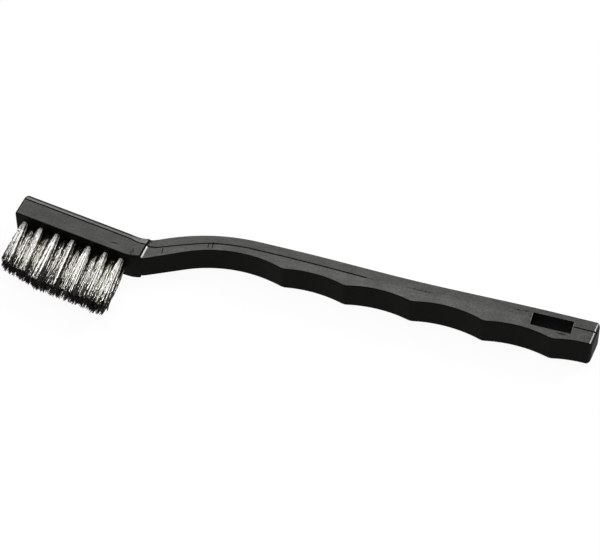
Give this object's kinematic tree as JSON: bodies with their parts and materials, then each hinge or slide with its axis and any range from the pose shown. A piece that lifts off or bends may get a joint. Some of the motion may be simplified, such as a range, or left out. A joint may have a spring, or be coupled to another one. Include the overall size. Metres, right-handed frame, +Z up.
{
  "type": "gasket brush",
  "caption": "Toothbrush-shaped scratch brush for gasket faces: moulded handle with finger scallops and hang hole, short straight head, staggered rows of steel wire tufts.",
  "frame": {"origin": "middle of the bottom of the bounding box, with the brush lying on its side", "axes": "+X along the handle from the head to its free end, the bristles point to -Y, +Z up across the width"},
  "size_m": [0.185, 0.036, 0.0108],
  "materials": {
    "black_plastic": "moulded, fine satin",
    "stainless_wire": "drawn wire",
    "anchor_steel": "plain"
  },
  "bodies": {
    "root": {"handle": "black_plastic", "tuft_upper_1": "stainless_wire", "tuft_upper_2": "stainless_wire", "tuft_upper_3": "stainless_wire", "tuft_upper_4": "stainless_wire", "tuft_upper_5": "stainless_wire", "tuft_upper_6": "stainless_wire", "tuft_upper_7": "stainless_wire", "tuft_middle_1": "stainless_wire", "tuft_middle_2": "stainless_wire", "tuft_middle_3": "stainless_wire", "tuft_middle_4": "stainless_wire", "tuft_middle_5": "stainless_wire", "tuft_middle_6": "stainless_wire", "tuft_lower_1": "stainless_wire", "tuft_lower_2": "stainless_wire", "tuft_lower_3": "stainless_wire", "tuft_lower_4": "stainless_wire", "tuft_lower_5": "stainless_wire", "tuft_lower_6": "stainless_wire", "tuft_lower_7": "stainless_wire", "anchor_upper_1": "anchor_steel", "anchor_upper_2": "anchor_steel", "anchor_upper_3": "anchor_steel", "anchor_upper_4": "anchor_steel", "anchor_upper_5": "anchor_steel", "anchor_upper_6": "anchor_steel", "anchor_upper_7": "anchor_steel", "anchor_middle_1": "anchor_steel", "anchor_middle_2": "anchor_steel", "anchor_middle_3": "anchor_steel", "anchor_middle_4": "anchor_steel", "anchor_middle_5": "anchor_steel", "anchor_middle_6": "anchor_steel", "anchor_lower_1": "anchor_steel", "anchor_lower_2": "anchor_steel", "anchor_lower_3": "anchor_steel", "anchor_lower_4": "anchor_steel", "anchor_lower_5": "anchor_steel", "anchor_lower_6": "anchor_steel", "anchor_lower_7": "anchor_steel"}
  },
  "joints": []
}
